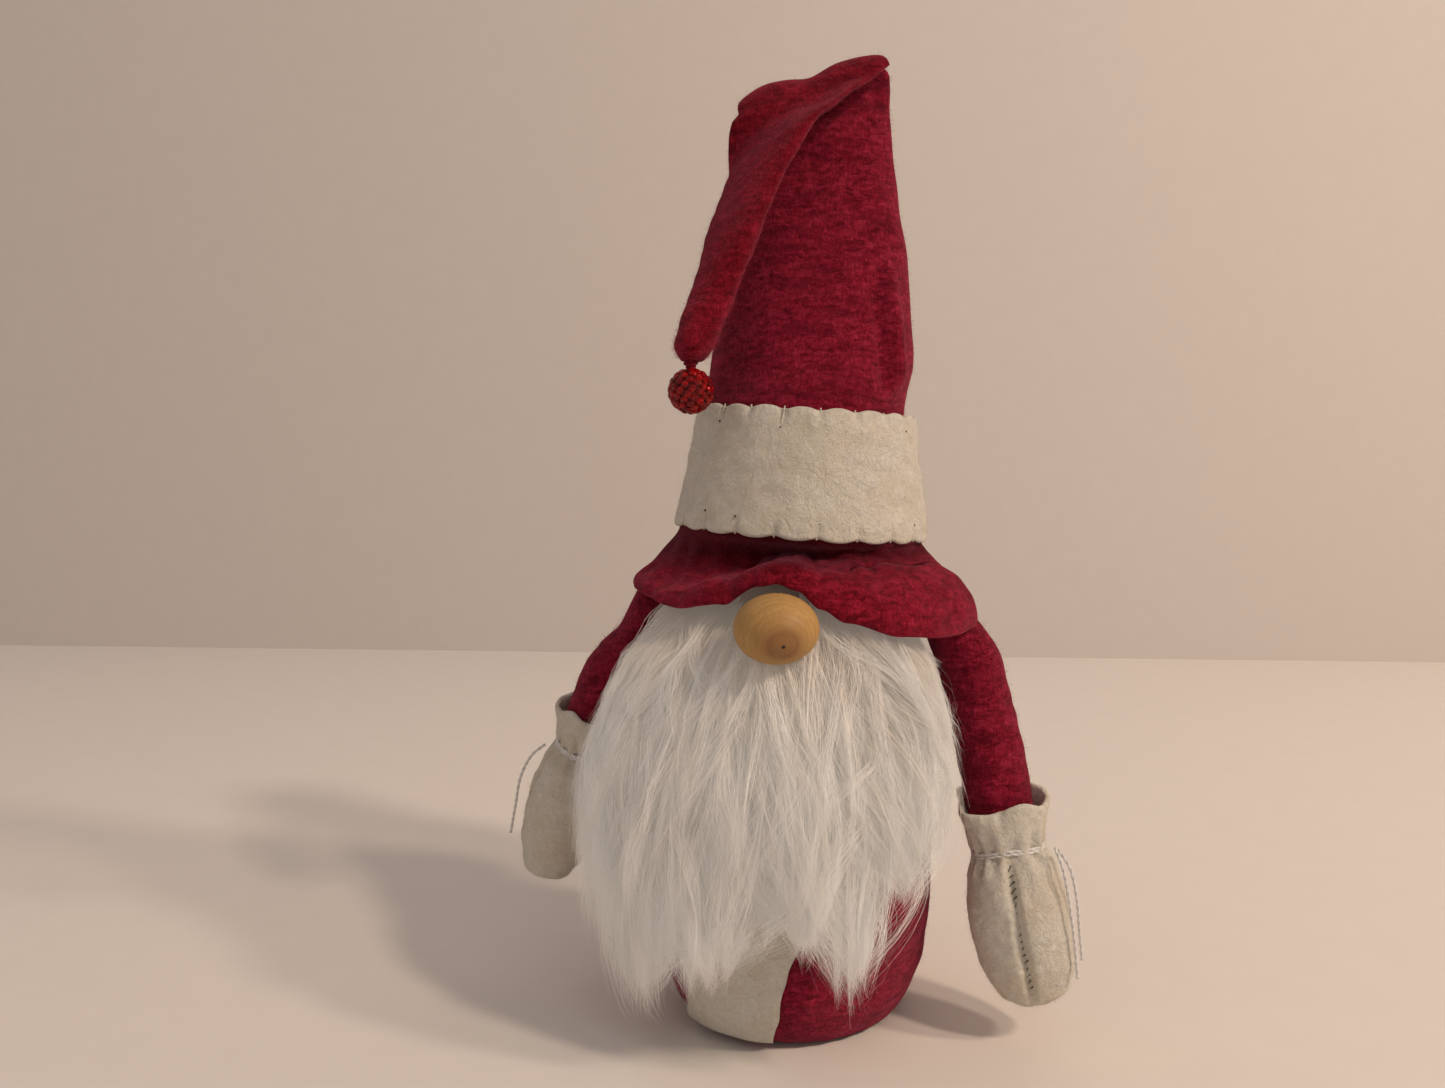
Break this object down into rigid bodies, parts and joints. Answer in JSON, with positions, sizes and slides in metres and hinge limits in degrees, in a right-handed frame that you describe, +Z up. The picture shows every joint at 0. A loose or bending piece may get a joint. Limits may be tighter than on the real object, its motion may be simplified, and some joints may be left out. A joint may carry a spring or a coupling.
{
  "type": "tomte gnome figurine",
  "caption": "Stuffed cloth gnome with a weighted body, folded pointed hat with felt band, long fur beard, wooden nose, swinging arms and felt mittens.",
  "frame": {"origin": "centre of the flat base panel, on the surface that the gnome stands on", "axes": "+Z up through the hat, -Y toward the nose and beard (front), +X toward the gnome's own left arm"},
  "size_m": [0.1938, 0.1227, 0.3083],
  "materials": {
    "flannel": "brushed heathered crimson flannel",
    "felt": "cream craft felt, 1.7 mm",
    "pile": "long white faux fur",
    "wadding": "polyester fibre fill",
    "wood": "turned wood, thin lacquer",
    "yarn": "white twisted yarn",
    "seam_thread": "olive cotton thread",
    "card": "grey board",
    "pouch": "calico pouch of plastic pellets",
    "bead": "pave of red rhinestones"
  },
  "bodies": {
    "body": {"body_sack": "flannel", "base_panel": "flannel", "base_card": "card", "weight_pouch": "pouch", "body_stuffing": "wadding", "coat_trim": "felt", "beard_backing": "pile", "beard_pile": "pile", "nose": "wood", "hat_cone": "flannel", "hat_stuffing": "wadding", "hat_brim": "flannel", "hat_band": "felt", "band_top_stitching": "yarn", "band_bottom_stitching": "yarn"},
    "tail": {"hat_tail": "flannel", "tail_wadding": "wadding"},
    "bead_drop": {"bead_thread": "flannel", "bead": "bead"},
    "left_shoulder": {"left_sleeve_tab": "flannel"},
    "left_arm": {"left_sleeve": "flannel", "left_sleeve_stuffing": "wadding"},
    "left_hand": {"left_mitten": "felt", "left_mitten_stuffing": "wadding", "left_mitten_stitching": "seam_thread", "left_wrist_tie": "yarn", "left_yarn_tail_1": "yarn", "left_yarn_tail_2": "yarn"},
    "right_shoulder": {"right_sleeve_tab": "flannel"},
    "right_arm": {"right_sleeve": "flannel", "right_sleeve_stuffing": "wadding"},
    "right_hand": {"right_mitten": "felt", "right_mitten_stuffing": "wadding", "right_mitten_stitching": "seam_thread", "right_wrist_tie": "yarn", "right_yarn_tail_1": "yarn"}
  },
  "joints": [
    {"name": "hat_tail_flop", "type": "hinge", "parent": "body", "child": "tail", "pos_m": [0.004, 0, 0.295], "axis": [-0.9402, -0.1823, -0.2878], "range_deg": [0, 60]},
    {"name": "bead_swing", "type": "hinge", "parent": "tail", "child": "bead_drop", "pos_m": [-0.0252, -0.0406, 0.2083], "axis": [0, 1, 0], "range_deg": [-25, 25]},
    {"name": "left_arm_swing", "type": "hinge", "parent": "body", "child": "left_shoulder", "pos_m": [0.044, 0, 0.1365], "axis": [1, 0, 0], "range_deg": [-8, 20]},
    {"name": "left_arm_lift", "type": "hinge", "parent": "left_shoulder", "child": "left_arm", "pos_m": [0.055, 0, 0.1155], "axis": [0, -1, 0], "range_deg": [0, 50]},
    {"name": "left_wrist_bend", "type": "hinge", "parent": "left_arm", "child": "left_hand", "pos_m": [0.0662, -0.0075, 0.069], "axis": [0, -1, 0], "range_deg": [-5, 8]},
    {"name": "right_arm_swing", "type": "hinge", "parent": "body", "child": "right_shoulder", "pos_m": [-0.044, -0.003, 0.14], "axis": [1, 0, 0], "range_deg": [-8, 20]},
    {"name": "right_arm_lift", "type": "hinge", "parent": "right_shoulder", "child": "right_arm", "pos_m": [-0.0545, -0.003, 0.1185], "axis": [0, 1, 0], "range_deg": [0, 50]},
    {"name": "right_wrist_bend", "type": "hinge", "parent": "right_arm", "child": "right_hand", "pos_m": [-0.0735, -0.003, 0.0895], "axis": [0.8557, 0.5174, 0], "range_deg": [-8, 8]}
  ]
}
